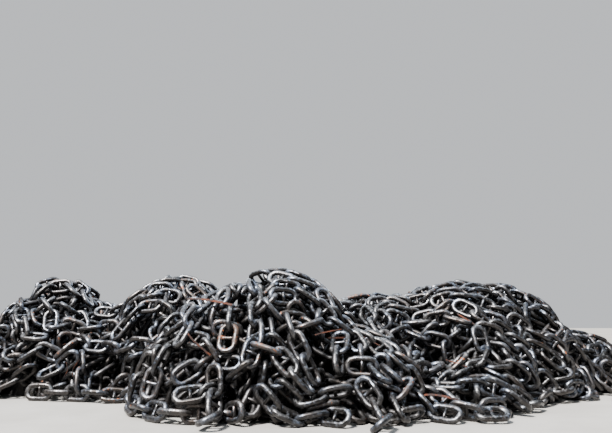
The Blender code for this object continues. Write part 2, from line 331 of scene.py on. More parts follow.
def solidRing(steps=10, sides=6):
    # corners of the solid's coarse ring, to find how far its box is from the laid one
    points = []
    for u, v in itertools.product(range(steps), range(sides)):
        around = 2 * math.pi * u / steps
        out = crownRadius + barRadius * math.cos(2 * math.pi * v / sides)
        x = out * math.cos(around)
        height = barRadius * math.sin(2 * math.pi * v / sides)
        points.append((x + math.copysign(halfStraight, x), out * math.sin(around), height))
    return np.array(points)


def boxMiddle(low, high):
    return (np.array(low) + np.array(high)) / 2


def placeLinks(pattern, centres, turns):
    return np.einsum("nij,kj->nki", turns, pattern) + centres[:, None, :]


ringCorners = solidRing()
runLinks = {}
for key, values in chainRuns.items():
    centres, turns = layRun(*values)
    laid = placeLinks(ringCorners, centres, turns).reshape(-1, 3)
    offset = boxMiddle(*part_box("chain_run_" + key)) - boxMiddle(laid.min(axis=0), laid.max(axis=0))
    runLinks[key] = (centres, turns, offset)
heapShift = np.median(np.array([offset for _, _, offset in runLinks.values()]), axis=0)
heapShift[2] = 0
print("runs laid, heap shift", np.round(heapShift, 4))


# loose chain round and under the runs
looseChain = {
    "seed": 7,
    "depths": (0.08, 0.50),  # of a chain's middle below the heap's outer surface
    "depthSteps": (-0.20, -0.10, 0.0, 0.10, 0.20),  # how far a link may dive or climb
    "turns": (-75, -55, -38, -22, -8, 8, 22, 38, 55, 75),  # degrees it may swing from the last one
    "roomEnough": 0.30,  # more room than this is no better
    "turnCost": 0.025,
    "diveCost": 0.04,
    "scoreSpread": 0.03,
    "firstBend": 0.30,
    "bendKept": 0.75,
    "bendSpread": 0.16,
    "rollSpread": 14,
    "tiltSpread": 7,
    "edge": 0.02,  # how far out over the heap's edge a joint may lie
    "startRoll": (45, 28),
    "startMargin": 0.12,  # how much more heap there has to be over a chain's start
    "startHeight": 0.05,
    "startDepthCost": 0.1,
    "runEndLengths": (5, 14),
    "runEndDrop": 0.03,
    # clearances are between the middles of links
    "firstFill": {"depths": (0.08, 0.50), "startClearance": 0.215, "goOnClearance": 0.195, "lengths": (6, 24)},
    "nextFill": {"depths": (0.10, 0.40), "startClearance": 0.205, "goOnClearance": 0.185, "lengths": (3, 8)},
    "startsTried": 500,
    "mostMisses": 6,
    "shortMiss": 0.02,  # what a chain that found no room counts as
    "mostLinks": 2600,
}


def clearances(points, placed):
    gaps = np.linalg.norm(points[:, None, :] - placed[None, :, :], axis=2)
    return gaps.min(axis=1)


def growChain(chain, joint, heading, depth, roll, length, placed, onRun, rng, clearance):
    # one chain grown link by link towards free room, then added to the rest
    centres = []
    turns = []
    bend = rng.normal(0, looseChain["firstBend"])
    spread = np.radians(np.array(looseChain["turns"]))
    dives = np.array(looseChain["depthSteps"])
    for count in range(length):
        headings = np.repeat(heading + bend + spread, len(dives))
        depths = np.clip(depth + np.tile(dives, len(spread)), *looseChain["depths"])
        step = np.full(len(headings), jointSpacing)
        for _ in range(4):
            x = joint[0] + step * np.cos(headings)
            y = joint[1] + step * np.sin(headings)
            points = np.stack([x, y, lyingHeight(x, y, depths)], axis=1)
            reach = np.linalg.norm(points - joint, axis=1)
            step = np.minimum(step * jointSpacing / reach, jointSpacing)
        points = joint + (points - joint) * (jointSpacing / reach)[:, None]
        middles = (points + joint) / 2
        room = clearances(middles, placed[:-1] if (onRun or count) else placed)
        inside = heapHeight(points[:, 0], points[:, 1], -looseChain["edge"]) > looseChain["edge"]
        score = (np.minimum(room, looseChain["roomEnough"])
                 - looseChain["turnCost"] * np.abs(headings - heading - bend)
                 - looseChain["diveCost"] * np.abs(depths - depth))
        score = score + rng.normal(0, looseChain["scoreSpread"], len(score))
        score[~inside | (room < clearance)] = -1
        best = int(np.argmax(score))
        if score[best] < 0:
            break
        normal = surfaceNormal(middles[best, 0], middles[best, 1], depths[best])
        tilt = rng.normal(0, looseChain["tiltSpread"])
        turns.append(linkTurn(joint, points[best], normal, roll + 90 * (count % 2) + tilt))
        centres.append(middles[best])
        placed = np.vstack([placed, middles[best]])
        heading, depth, joint = headings[best], depths[best], points[best]
        bend = looseChain["bendKept"] * bend + rng.normal(0, looseChain["bendSpread"])
        roll += rng.normal(0, looseChain["rollSpread"])
    if len(centres) < (1 if onRun else 2):
        return 0
    first = len(chain["centres"])
    chain["centres"] += centres
    chain["turns"] += turns
    chain["fixed"] += [False] * len(centres)
    chain["after"] += list(range(first + 1, first + len(centres))) + [-1]
    return len(centres)


def fillRoom(chain, rng, fill):
    # chains that start in the emptiest places
    for name in ("centres", "turns", "fixed", "after"):
        chain[name] = list(chain[name])
    low = mounds[:, :2].min(axis=0) - mounds[:, 2:4].max(axis=0)
    high = mounds[:, :2].max(axis=0) + mounds[:, 2:4].max(axis=0)
    misses = 0
    while len(chain["centres"]) < looseChain["mostLinks"] and misses < looseChain["mostMisses"]:
        placed = np.array(chain["centres"])
        x = rng.uniform(low[0], high[0], looseChain["startsTried"])
        y = rng.uniform(low[1], high[1], looseChain["startsTried"])
        depth = rng.uniform(*fill["depths"], looseChain["startsTried"])
        inside = heapHeight(x, y, depth - looseChain["startMargin"]) > looseChain["startHeight"]
        x, y, depth = x[inside], y[inside], depth[inside]
        starts = np.stack([x, y, lyingHeight(x, y, depth)], axis=1)
        room = clearances(starts, placed)
        best = int(np.argmax(room - looseChain["startDepthCost"] * depth))
        if room[best] < fill["startClearance"]:
            misses += 1
            continue
        heading = rng.uniform(0, 2 * math.pi)
        length = int(rng.integers(*fill["lengths"]))
        roll = rng.normal(*looseChain["startRoll"])
        if not growChain(chain, starts[best], heading, depth[best], roll, length, placed, False, rng,
                         fill["goOnClearance"]):
            misses += looseChain["shortMiss"]


def carryRunsOn(chain, ends, rng):
    # a chain goes on from each end of the runs that has room
    for index in rng.permutation(len(ends)):
        link, way = ends[index]
        placed = np.array(chain["centres"])
        axis = chain["turns"][link][:, 0] * way
        joint = placed[link] + axis * jointSpacing / 2
        width = chain["turns"][link][:, 1]
        side = np.cross(surfaceNormal(joint[0], joint[1], runInset), axis)
        roll = math.degrees(math.atan2(width @ np.cross(axis, side), width @ side)) + 90
        length = int(rng.integers(*looseChain["runEndLengths"]))
        placed = np.vstack([np.delete(placed, link, axis=0), placed[link]])
        first = len(chain["centres"])
        if growChain(chain, joint, math.atan2(axis[1], axis[0]), runInset + looseChain["runEndDrop"], roll, length,
                     placed, True, rng, looseChain["firstFill"]["goOnClearance"]):
            chain["ties"].append((link, first, way))


def layLooseChain():
    # after: the next link of the same chain, or -1
    # ties: a fixed link, the loose link hooked on it, and the end it is hooked on
    chain = {"centres": [], "turns": [], "fixed": [], "after": [], "ties": []}
    ends = []
    for runCentres, runTurns, offset in runLinks.values():
        first = len(chain["centres"])
        last = first + len(runCentres) - 1
        chain["centres"] += list(runCentres + offset - heapShift)
        chain["turns"] += list(runTurns)
        chain["fixed"] += [True] * len(runCentres)
        chain["after"] += list(range(first + 1, last + 1)) + [-1]
        ends += [(first, -1), (last, 1)]
    print("fixed links", len(chain["centres"]))
    rng = np.random.default_rng(looseChain["seed"])
    carryRunsOn(chain, ends, rng)
    print("links after the runs' ends are carried on", len(chain["centres"]))
    fillRoom(chain, rng, looseChain["firstFill"])
    print("links in all", len(chain["centres"]), "seconds", round(time.time() - startedAt, 1))
    return chain


chain = layLooseChain()


# the chain settles
settling = {
    "rounds": (150, 100, 90, 70),  # steps of each round; what is stuck is taken out between them
    "quickRounds": (30, 15, 10, 10),
    "stuck": 0.022,  # a link that still cuts this deep into another is stuck
    "alone": 0.30,  # a single link that lies deeper than this stays
    "ringPoints": 20,
    "studPoint": 0.035,
    "coreInset": 0.60,  # how deep the hidden body lies
    "lidInset": -0.060,  # the lid is the heap's outer surface, let out a little
    "lidLeastInBars": 2.3,
    "pressSteps": 120,  # the chain is pressed down and inwards this long
    "press": 0.0002,
    "pressDown": 0.6,
    "pressInwards": 0.4,
    "swell": 1.03,  # bars keep this much more than touching apart
    "hooked": 0.90,  # and this much where they bear in each other's crowns
    "slack": 0.012,  # play of one crown in the next
    "reach": 0.03,  # how far loose chain may lie outside the solids' box
    "pairsEvery": 6,
    "pairsMargin": 0.035,
    "share": 1.2,
    "deepestPush": 0.05,
    "furthestMove": 0.018,
    "furthestTurn": 0.12,
    "mapReach": (8.0, 4.2),  # half the sides of the height maps
    "mapCell": 0.08,
}
neighbourCells = [cell for cell in itertools.product((0, 1), (-1, 0, 1), (-1, 0, 1)) if cell >= (0, 0, 0)]


def ringPath(count):
    # points spaced evenly along the middle of the bar, and two on the stud
    straight = 2 * halfStraight
    whole = 2 * math.pi * crownRadius + 2 * straight
    points = []
    for index in range(count):
        along = whole * (index + 0.5) / count
        if along < straight:
            points.append((along - halfStraight, -crownRadius, 0))
            continue
        along -= straight
        if along < math.pi * crownRadius:
            angle = along / crownRadius - math.pi / 2
            points.append((halfStraight + crownRadius * math.cos(angle), crownRadius * math.sin(angle), 0))
            continue
        along -= math.pi * crownRadius
        if along < straight:
            points.append((halfStraight - along, crownRadius, 0))
            continue
        angle = (along - straight) / crownRadius + math.pi / 2
        points.append((-halfStraight + crownRadius * math.cos(angle), crownRadius * math.sin(angle), 0))
    points += [(0, -settling["studPoint"], 0), (0, settling["studPoint"], 0)]
    sizes = np.full(len(points), barRadius)
    sizes[-2:] = studRadius
    return np.array(points), sizes


path, pathSizes = ringPath(settling["ringPoints"])


def heightMap(inset):
    cell = settling["mapCell"]
    x, y = (np.arange(-reach, reach, cell) for reach in settling["mapReach"])
    heights = heapHeight(x[:, None], y[None, :], inset)
    slopeX, slopeY = np.gradient(heights, cell)
    flat = 1 / np.sqrt(1 + slopeX ** 2 + slopeY ** 2)
    return heights, np.stack([-slopeX * flat, -slopeY * flat, flat], axis=2)


def lookUp(surface, points):
    grid, normals = surface
    column, row = (np.clip((points[:, k] + settling["mapReach"][k]) / settling["mapCell"], 0, grid.shape[k] - 2)
                   for k in (0, 1))
    i = column.astype(int)
    j = row.astype(int)
    u = column - i
    v = row - j
    level = (grid[i, j] * (1 - u) * (1 - v) + grid[i + 1, j] * u * (1 - v)
             + grid[i, j + 1] * (1 - u) * v + grid[i + 1, j + 1] * u * v)
    return level, normals[i, j]


def nearPairs(points, owner, fixed, reach):
    cells = np.floor(points / reach).astype(np.int64)
    cells -= cells.min(axis=0) - 1
    size = cells.max(axis=0) + 2
    keys = (cells[:, 0] * size[1] + cells[:, 1]) * size[2] + cells[:, 2]
    order = np.argsort(keys, kind="stable")
    keys = keys[order]
    here = points[order]
    pairs = []
    for cell in neighbourCells:
        wanted = keys + (cell[0] * size[1] + cell[1]) * size[2] + cell[2]
        begin = np.searchsorted(keys, wanted, "left")
        count = np.searchsorted(keys, wanted, "right") - begin
        first = np.repeat(np.arange(len(keys)), count)
        within = np.arange(count.sum()) - np.repeat(np.cumsum(count) - count, count)
        second = np.repeat(begin, count) + within
        keep = ((here[first] - here[second]) ** 2).sum(axis=1) < reach * reach
        if cell == (0, 0, 0):
            keep &= first < second
        first = order[first[keep]]
        second = order[second[keep]]
        keep = (owner[first] != owner[second]) & ~(fixed[owner[first]] & fixed[owner[second]])
        pairs.append((first[keep], second[keep]))
    return (np.concatenate(part) for part in zip(*pairs))


def shareOut(chain):
    # how many links there are, and the link and the radius at each point of their paths
    total = len(chain["centres"])
    return total, np.repeat(np.arange(total), len(path)), np.tile(pathSizes, total)


def areHooked(chain, linkA, linkB):
    after, ties = chain["after"], chain["ties"]
    tied = np.full(len(after), -1)
    tied[ties[:, 1]] = ties[:, 0]
    return (after[linkA] == linkB) | (after[linkB] == linkA) | (tied[linkA] == linkB) | (tied[linkB] == linkA)


def turnLinks(turns, angles):
    size = np.linalg.norm(angles, axis=1) + 1e-12
    x, y, z = (angles / size[:, None]).T
    none = np.zeros(len(size))
    cross = np.stack([none, -z, y, z, none, -x, -y, x, none], axis=1).reshape(-1, 3, 3)
    turn = np.eye(3) + np.sin(size)[:, None, None] * cross + (1 - np.cos(size))[:, None, None] * (cross @ cross)
    return turn @ turns


def addUp(links, vectors, total):
    return np.stack([np.bincount(links, vectors[:, k], total) for k in range(3)], axis=1)


def addPushes(sums, links, way, normals, swings, pushes):
    total = len(sums["count"])
    sums["move"] += way * addUp(links, normals * pushes[:, None], total)
    sums["swing"] += way * addUp(links, swings * pushes[:, None], total)
    sums["count"] += np.bincount(links, minlength=total)


def shorten(vectors, furthest):
    return vectors * np.minimum(1, furthest / (np.linalg.norm(vectors, axis=1, keepdims=True) + 1e-12))


def settle(chain, steps, pressSteps):
    for name in chain:
        chain[name] = np.array(chain[name])
    centres, turns, fixed, after, ties = chain.values()
    total, owner, size = shareOut(chain)
    movable = (~fixed).astype(float)
    lightness = 1 / np.diag((path ** 2).sum() / len(path) * np.eye(3) - path.T @ path / len(path))
    core = heightMap(settling["coreInset"])
    lid = heightMap(settling["lidInset"])
    ahead = np.eye(3)
    walls = [(ahead[k] * way, way * (near - heapShift)[k] - settling["reach"])
             for k in (0, 1) for way, near in ((1, np.array(cadLow)), (-1, np.array(cadHigh)))]
    followed = np.flatnonzero((after >= 0) & ~(fixed & fixed[after]))
    hooks = [(links, np.ones(len(links)), after[links])
             for links in (followed[followed % 2 == 0], followed[followed % 2 == 1])]
    hooks.append((ties[:, 0], ties[:, 2].astype(float), ties[:, 1]))

    def swingUnder(links, arms, normals):
        # how a link swings when it is pushed at the end of an arm, and how readily it gives way there
        levers = np.cross(arms, normals)
        local = np.einsum("nji,nj->ni", turns[links], levers) * lightness
        swings = np.einsum("nij,nj->ni", turns[links], local)
        return swings, 1 + (levers * swings).sum(axis=1)

    def pullJoints(a, wayA, b):
        armA = turns[a][:, :, 0] * (jointSpacing / 2 * wayA)[:, None]
        armB = turns[b][:, :, 0] * -(jointSpacing / 2)
        gap = centres[b] + armB - centres[a] - armA
        length = np.linalg.norm(gap, axis=1) + 1e-9
        normal = gap / length[:, None]
        swingA, easeA = swingUnder(a, armA, normal)
        swingB, easeB = swingUnder(b, armB, normal)
        pull = np.clip(length - settling["slack"], 0, settling["deepestPush"])
        pull = pull / (movable[a] * easeA + movable[b] * easeB)
        centres[a] += normal * (pull * movable[a])[:, None]
        centres[b] -= normal * (pull * movable[b])[:, None]
        turns[a] = turnLinks(turns[a], swingA * (pull * movable[a])[:, None])
        turns[b] = turnLinks(turns[b], -swingB * (pull * movable[b])[:, None])

    for step in range(steps):
        points = placeLinks(path, centres, turns).reshape(-1, 3)
        if step % settling["pairsEvery"] == 0:
            first, second = nearPairs(points, owner, fixed, bar * settling["swell"] + settling["pairsMargin"])
            hooked = areHooked(chain, owner[first], owner[second])
            apart = (size[first] + size[second]) * np.where(hooked, settling["hooked"], settling["swell"])
        offset = points[first] - points[second]
        distance = np.sqrt((offset ** 2).sum(axis=1)) + 1e-9
        touching = distance < apart
        a = first[touching]
        b = second[touching]
        linkA = owner[a]
        linkB = owner[b]
        normal = offset[touching] / distance[touching][:, None]
        swingA, easeA = swingUnder(linkA, points[a] - centres[linkA], normal)
        swingB, easeB = swingUnder(linkB, points[b] - centres[linkB], normal)
        push = (apart - distance)[touching] / np.maximum(movable[linkA] * easeA + movable[linkB] * easeB, 1e-6)
        sums = {"move": np.zeros((total, 3)), "swing": np.zeros((total, 3)), "count": np.zeros(total, int)}
        addPushes(sums, linkA, 1, normal, swingA, push)
        addPushes(sums, linkB, -1, normal, swingB, push)

        # the ground, the hidden chain below, the heap's outer surface and the walls of its box
        level, slope = lookUp(core, points)
        top, lidSlope = lookUp(lid, points)
        top = np.maximum(top, settling["lidLeastInBars"] * bar)
        height = points[:, 2]
        limits = [
            (height < size, np.broadcast_to(ahead[2], points.shape), size - height),
            ((level > 0) & (height < level), slope, (level - height) * slope[:, 2]),
            (height + size > top, -lidSlope, (height + size - top) * lidSlope[:, 2]),
        ]
        for inward, place in walls:
            past = place + size - points @ inward
            limits.append((past > 0, np.broadcast_to(inward, points.shape), past))
        for where, normal, depth in limits:
            a = np.flatnonzero(where & (movable[owner] > 0))
            linkA = owner[a]
            swingA, easeA = swingUnder(linkA, points[a] - centres[linkA], normal[a])
            addPushes(sums, linkA, 1, normal[a], swingA, np.minimum(depth[a], settling["deepestPush"]) / easeA)

        share = (settling["share"] * movable / np.maximum(sums["count"], 1) ** 0.5)[:, None]
        move = shorten(sums["move"] * share, settling["furthestMove"])
        swing = shorten(sums["swing"] * share, settling["furthestTurn"])
        if step < pressSteps:
            slope = lookUp(lid, centres)[1]
            press = np.array([0, 0, -settling["pressDown"]]) - settling["pressInwards"] * slope
            move += press * (settling["press"] * movable)[:, None]
        centres += move
        turns = turnLinks(turns, swing)
        for hook in hooks:
            pullJoints(*hook)
    chain["turns"] = turns


def findStuck(chain):
    # loose links that cut deep into one another, one of each such pair
    total, owner, size = shareOut(chain)
    points = placeLinks(path, chain["centres"], chain["turns"]).reshape(-1, 3)
    first, second = nearPairs(points, owner, chain["fixed"], bar)
    linkA, linkB = owner[first], owner[second]
    apart = (size[first] + size[second]) * np.where(areHooked(chain, linkA, linkB), settling["hooked"], 1)
    depth = apart - np.linalg.norm(points[first] - points[second], axis=1)
    keep = depth > settling["stuck"]
    stuck = np.zeros(total, bool)
    while keep.any():
        linkA, linkB, depth = linkA[keep], linkB[keep], depth[keep]
        blame = np.bincount(linkA, depth, total) + np.bincount(linkB, depth, total)
        blame[chain["fixed"]] = 0
        worst = int(np.argmax(blame))
        if blame[worst] == 0:
            break
        stuck[worst] = True
        keep = (linkA != worst) & (linkB != worst)
    return stuck


def findAlone(chain):
    # single links near the surface that hang on no other link
    after = chain["after"]
    alone = ~chain["fixed"] & (after < 0)
    alone[after[after >= 0]] = False
    alone[chain["ties"][:, 1]] = False
    return alone & (howDeep(chain["centres"]) < settling["alone"])


def takeOut(chain, gone):
    keep = ~gone
    newIndex = np.cumsum(keep) - 1
    after, ties = chain["after"], chain["ties"]
    chain["after"] = np.where((after >= 0) & keep[after], newIndex[after], -1)
    ties = ties[keep[ties[:, 1]]]
    chain["ties"] = np.stack([newIndex[ties[:, 0]], newIndex[ties[:, 1]], ties[:, 2]], axis=1)
    for name in ("centres", "turns", "fixed", "after"):
        chain[name] = chain[name][keep]


rounds = settling["rounds"]
for index, steps in enumerate(rounds):
    settle(chain, steps, settling["pressSteps"] if index == 0 else 0)
    stuck = findStuck(chain)
    takeOut(chain, stuck)
    if index + 2 < len(rounds):
        fillRoom(chain, np.random.default_rng(index), looseChain["nextFill"])
    print("round", index + 1, "taken out", int(stuck.sum()), "links", len(chain["centres"]),
          "seconds", round(time.time() - startedAt, 1))
alone = findAlone(chain)
takeOut(chain, alone)
linkCentres, linkTurns, linkFixed = chain["centres"], chain["turns"], chain["fixed"]
below = placeLinks(plainLink["points"], linkCentres, linkTurns)[:, :, 2].min(axis=1)
linkCentres[:, 2] += np.where(linkFixed, 0, np.clip(-below, 0, None))
print("single links taken out", int(alone.sum()), "lifted off the ground", int((below < 0).sum()))


# finishes
finishValues = {
    "chain": {
        # worn bare steel is lighter from real wear; its blue tint is a painted sky reflection
        "dark": (0.012, 0.011, 0.010, 1), "light": (0.125, 0.120, 0.124, 1), "polishedSkyReflection": (0.58, 0.69, 0.90, 1),
        "warmPolish": (0.72, 0.72, 0.73, 1), "film": (0.150, 0.108, 0.082, 1), "paleDust": (0.40, 0.40, 0.39, 1),
        # painted shade: one near-black colour darkens the deeper links and what faces down
        "paintedShade": (0.020, 0.018, 0.017, 1), "roughness": (0.30, 0.46), "metallic": 0.90, "rust": 1.0, "dust": 0.12,
        "under": 0.85, "deep": 0.85, "scuffs": 0.36, "filmShown": 0.45, "pits": 0.35, "bump": (0.45, 0.0050),
        "oil": 0.25, "oilRoughness": 0.36, "rustRough": 0.28, "dirtRough": 0.20, "rustDull": 0.60, "dustDull": 0.5,
    },
    "hiddenShade": {
        # the hidden body's near-black colours are painted shade for the shadowed chain deep in the heap, with some
        # rust
        "dark": (0.020, 0.019, 0.019, 1), "light": (0.060, 0.056, 0.053, 1), "rust": 0.3, "rustShown": 0.3,
        "roughness": (0.75, 0.95), "specular": 0.15, "pits": 0.6, "bump": (1.0, 0.02),
    },
    "strap": {
        "dark": (0.022, 0.008, 0.005, 1), "light": (0.110, 0.026, 0.007, 1), "rust": 0.75, "rustShown": 0.15,
        "roughness": (0.70, 0.92), "specular": 0.5, "pits": 0.8, "bump": (0.9, 0.003), "mottleInStreaks": 0.6,
    },
    "floor": {"dark": (0.420, 0.395, 0.360, 1), "light": (0.490, 0.465, 0.430, 1), "roughness": 0.9},
    "rust": {
        "brown": (0.100, 0.052, 0.033, 1), "orange": (0.420, 0.125, 0.035, 1), "old": (0.050, 0.030, 0.024, 1),
        # where it begins, how much lower that is where there is more rust, and how soft its edge is
        "patches": (0.84, 0.36, 0.10), "blooms": (0.82, 0.22, 0.04),
        "oldShown": 0.45, "filmGain": 1.4,
    },
    "pitScale": 70.0,
}
noiseValues = {
    # scale, detail, roughness, distortion
    "broad": (14.0, 3.0, 0.6), "grain": (95.0, 4.0, 0.65), "patch": (5.5, 5.0, 0.62, 0.6), "speck": (42.0, 4.0, 0.7),
    "bloom": (19.0, 2.0, 0.5), "film": (3.2, 3.0, 0.6), "dust": (9.0, 5.0, 0.65), "scuff": (22.0, 3.0, 0.6),
    "cast": (2.3, 2.0, 0.55), "streak": (7.0, 3.0, 0.6), "floor": (0.8, 4.0, 0.6),
}
maskLimits = {
    # where each mask begins and where it is full
    "pits": (0.05, 0.30), "mottle": (0.32, 0.68), "film": (0.40, 0.62), "old": (0.42, 0.62), "upward": (0.15, 0.95),
    "dust": (0.36, 0.66), "under": (-0.30, 0.65), "worn": (0.15, 0.75), "scuff": (0.50, 0.68), "cast": (0.42, 0.58),
    "streak": (0.42, 0.58), "floor": (0.3, 0.7),
}
blendShares = {"height": (0.6, 0.35, 0.35), "mottle": (0.65, 0.35), "patches": (0.72, 0.28), "shade": (0.7, 0.3)}


def newGroup(name, dial, *results):
    # a node group with one dial; its results are numbers, but for one named Colour
    group = bpy.data.node_groups.new(name, "ShaderNodeTree")
    group.interface.new_socket(dial, in_out="INPUT", socket_type="NodeSocketFloat").default_value = 0.5
    for label in results:
        kind = "NodeSocketColor" if label == "Colour" else "NodeSocketFloat"
        group.interface.new_socket(label, in_out="OUTPUT", socket_type=kind)
    return group, group.nodes.new("NodeGroupInput").outputs[dial], group.nodes.new("NodeGroupOutput").inputs


def feed(tree, socket, value):
    if isinstance(value, (int, float, tuple)):
        socket.default_value = value
    else:
        tree.links.new(value, socket)


def addMath(tree, operation, first, second, clamp=False):
    node = tree.nodes.new("ShaderNodeMath")
    node.operation = operation
    node.use_clamp = clamp
    feed(tree, node.inputs[0], first)
    feed(tree, node.inputs[1], second)
    return node.outputs[0]


def times(tree, first, second, clamp=False):
    return addMath(tree, "MULTIPLY", first, second, clamp)


def plus(tree, first, second, share=1, clamp=False):
    return addMath(tree, "ADD", first, second if share == 1 else times(tree, second, share), clamp)


def minus(tree, first, second, share, clamp=False):
    return addMath(tree, "SUBTRACT", first, times(tree, second, share), clamp)


def blend(tree, key, first, *others):
    shares = blendShares[key]
    total = times(tree, first, shares[0])
    for other, share in zip(others, shares[1:]):
        total = plus(tree, total, other, share)
    return total


def addNoise(tree, key):
    node = tree.nodes.new("ShaderNodeTexNoise")
    for label, value in zip(("Scale", "Detail", "Roughness", "Distortion"), noiseValues[key]):
        node.inputs[label].default_value = value
    tree.links.new(objectPoint(tree), node.inputs["Vector"])
    return node.outputs["Fac"]


def addRange(tree, value, low, high, newLow=0.0, newHigh=1.0):
    node = tree.nodes.new("ShaderNodeMapRange")
    node.interpolation_type = "SMOOTHSTEP"
    for label, number in (("Value", value), ("From Min", low), ("From Max", high), ("To Min", newLow),
                          ("To Max", newHigh)):
        feed(tree, node.inputs[label], number)
    return node.outputs["Result"]


def addMask(tree, key, newLow=0.0, newHigh=1.0):
    return addRange(tree, addNoise(tree, key), *maskLimits[key], newLow, newHigh)


def addMix(tree, amount, first, second):
    node = tree.nodes.new("ShaderNodeMix")
    node.data_type = "RGBA"
    tree.links.new(amount, node.inputs["Factor"])
    for label, value in (("A", first), ("B", second)):
        feed(tree, [s for s in node.inputs if s.name == label and s.type == "RGBA"][0], value)
    return [s for s in node.outputs if s.type == "RGBA"][0]


def objectPoint(tree):
    return tree.nodes.new("ShaderNodeTexCoord").outputs["Object"]


def makeForgedSkin():
    # forge scale, hammer dimples and pits of old steel
    group, pits, made = newGroup("forgedSkin", "Pits", "Mottle", "Height")
    broad = addNoise(group, "broad")
    grain = addNoise(group, "grain")
    dots = group.nodes.new("ShaderNodeTexVoronoi")
    dots.inputs["Scale"].default_value = finishValues["pitScale"]
    group.links.new(objectPoint(group), dots.inputs["Vector"])
    hollow = addMath(group, "SUBTRACT", 1.0, addRange(group, dots.outputs["Distance"], *maskLimits["pits"]))
    mottle = addRange(group, blend(group, "mottle", broad, grain), *maskLimits["mottle"])
    group.links.new(mottle, made["Mottle"])
    group.links.new(blend(group, "height", broad, grain, minus(group, 1.0, hollow, pits)), made["Height"])
    return group


def makeRustPatches():
    # a thin brown film, patches of brown rust in it and small orange blooms
    rustValues = finishValues["rust"]
    group, amount, made = newGroup("rustPatches", "Amount", "Mask", "Film", "Colour")
    speck = addNoise(group, "speck")
    patches = blend(group, "patches", addNoise(group, "patch"), speck)
    masks = []
    for pattern, (begin, lowered, soft) in ((patches, rustValues["patches"]),
                                            (addNoise(group, "bloom"), rustValues["blooms"])):
        edge = minus(group, begin, amount, lowered)
        masks.append(addRange(group, pattern, edge, plus(group, edge, soft)))
    old = addRange(group, speck, *maskLimits["old"], 0.0, rustValues["oldShown"])
    film = times(group, addMask(group, "film"), amount)
    colour = addMix(group, masks[1], rustValues["brown"], rustValues["orange"])
    group.links.new(addMath(group, "MAXIMUM", *masks), made["Mask"])
    group.links.new(times(group, film, rustValues["filmGain"], clamp=True), made["Film"])
    group.links.new(addMix(group, old, colour, rustValues["old"]), made["Colour"])
    return group


def makeQuayDustAndUnderShade():
    # pale dust that stays on what faces up, and painted shade, darkest on what faces down and lighter on what faces
    # sideways
    group, amount, made = newGroup("quayDustAndUnderShade", "Amount", "Mask", "UnderShade")
    facing = group.nodes.new("ShaderNodeSeparateXYZ")
    group.links.new(group.nodes.new("ShaderNodeNewGeometry").outputs["Normal"], facing.inputs[0])
    upward = addRange(group, facing.outputs["Z"], *maskLimits["upward"])
    group.links.new(times(group, times(group, upward, addMask(group, "dust")), amount), made["Mask"])
    group.links.new(addRange(group, facing.outputs["Z"], *maskLimits["under"], 1.0, 0.0), made["UnderShade"])
    return group


groups = {"skin": makeForgedSkin(), "rust": makeRustPatches(), "dust": makeQuayDustAndUnderShade()}


def placeGroup(tree, key, value):
    node = tree.nodes.new("ShaderNodeGroup")
    node.node_tree = groups[key]
    feed(tree, node.inputs[0], value)
    return node.outputs


def newMaterial(key):
    material = bpy.data.materials.new(key + "Finish")
    material.use_nodes = True
    tree = material.node_tree
    tree.nodes.clear()
    shader = tree.nodes.new("ShaderNodeBsdfPrincipled")
    tree.links.new(shader.outputs["BSDF"], tree.nodes.new("ShaderNodeOutputMaterial").inputs["Surface"])
    return material, tree, shader.inputs, finishValues[key]


def addBump(tree, inputs, height, strength, distance):
    bump = tree.nodes.new("ShaderNodeBump")
    bump.inputs["Strength"].default_value = strength
    bump.inputs["Distance"].default_value = distance
    tree.links.new(height, bump.inputs["Height"])
    tree.links.new(bump.outputs["Normal"], inputs["Normal"])


def readValue(tree, name):
    node = tree.nodes.new("ShaderNodeAttribute")
    node.attribute_name = name
    return node.outputs["Fac"]


def makeChainFinish():
    material, tree, inputs, values = newMaterial("chain")
    skin = placeGroup(tree, "skin", values["pits"])
    rust = placeGroup(tree, "rust", times(tree, readValue(tree, "rusty"), values["rust"]))
    dust = placeGroup(tree, "dust", values["dust"])
    mottle = skin["Mottle"]
    worn = times(tree, readValue(tree, "worn"), addRange(tree, mottle, *maskLimits["worn"]))
    polish = plus(tree, worn, addMask(tree, "scuff", 0.0, values["scuffs"]), clamp=True)
    # painted shade read from each point: darker the deeper it lies under the heap's outer surface; it also roughens
    paintedShade = times(tree, readValue(tree, "paintedShade"), values["deep"])
    layers = [
        # worn and scuffed steel from real wear, coloured with a painted blue sky reflection where the cast mask is
        # low
        (polish, addMix(tree, addMask(tree, "cast"), values["polishedSkyReflection"], values["warmPolish"])),
        (times(tree, rust["Film"], values["filmShown"]), values["film"]),
        (rust["Mask"], rust["Colour"]),
        (dust["Mask"], values["paleDust"]),
        # painted shade on what faces down and, less, on what faces sideways
        (times(tree, dust["UnderShade"], values["under"]), values["paintedShade"]),
        (paintedShade, values["paintedShade"]),
    ]
    colour = addMix(tree, blend(tree, "shade", readValue(tree, "tone"), mottle), values["dark"], values["light"])
    for amount, layer in layers:
        colour = addMix(tree, amount, colour, layer)
    tree.links.new(colour, inputs["Base Color"])
    rough = plus(tree, addRange(tree, mottle, 0.0, 1.0, *values["roughness"]), rust["Mask"], values["rustRough"])
    rough = plus(tree, rough, dust["Mask"], values["dirtRough"])
    tree.links.new(plus(tree, rough, paintedShade, values["dirtRough"], clamp=True), inputs["Roughness"])
    metal = minus(tree, values["metallic"], rust["Mask"], values["rustDull"])
    tree.links.new(minus(tree, metal, dust["Mask"], values["dustDull"], clamp=True), inputs["Metallic"])
    inputs["Coat Weight"].default_value = values["oil"]
    inputs["Coat Roughness"].default_value = values["oilRoughness"]
    addBump(tree, inputs, skin["Height"], *values["bump"])
    return material


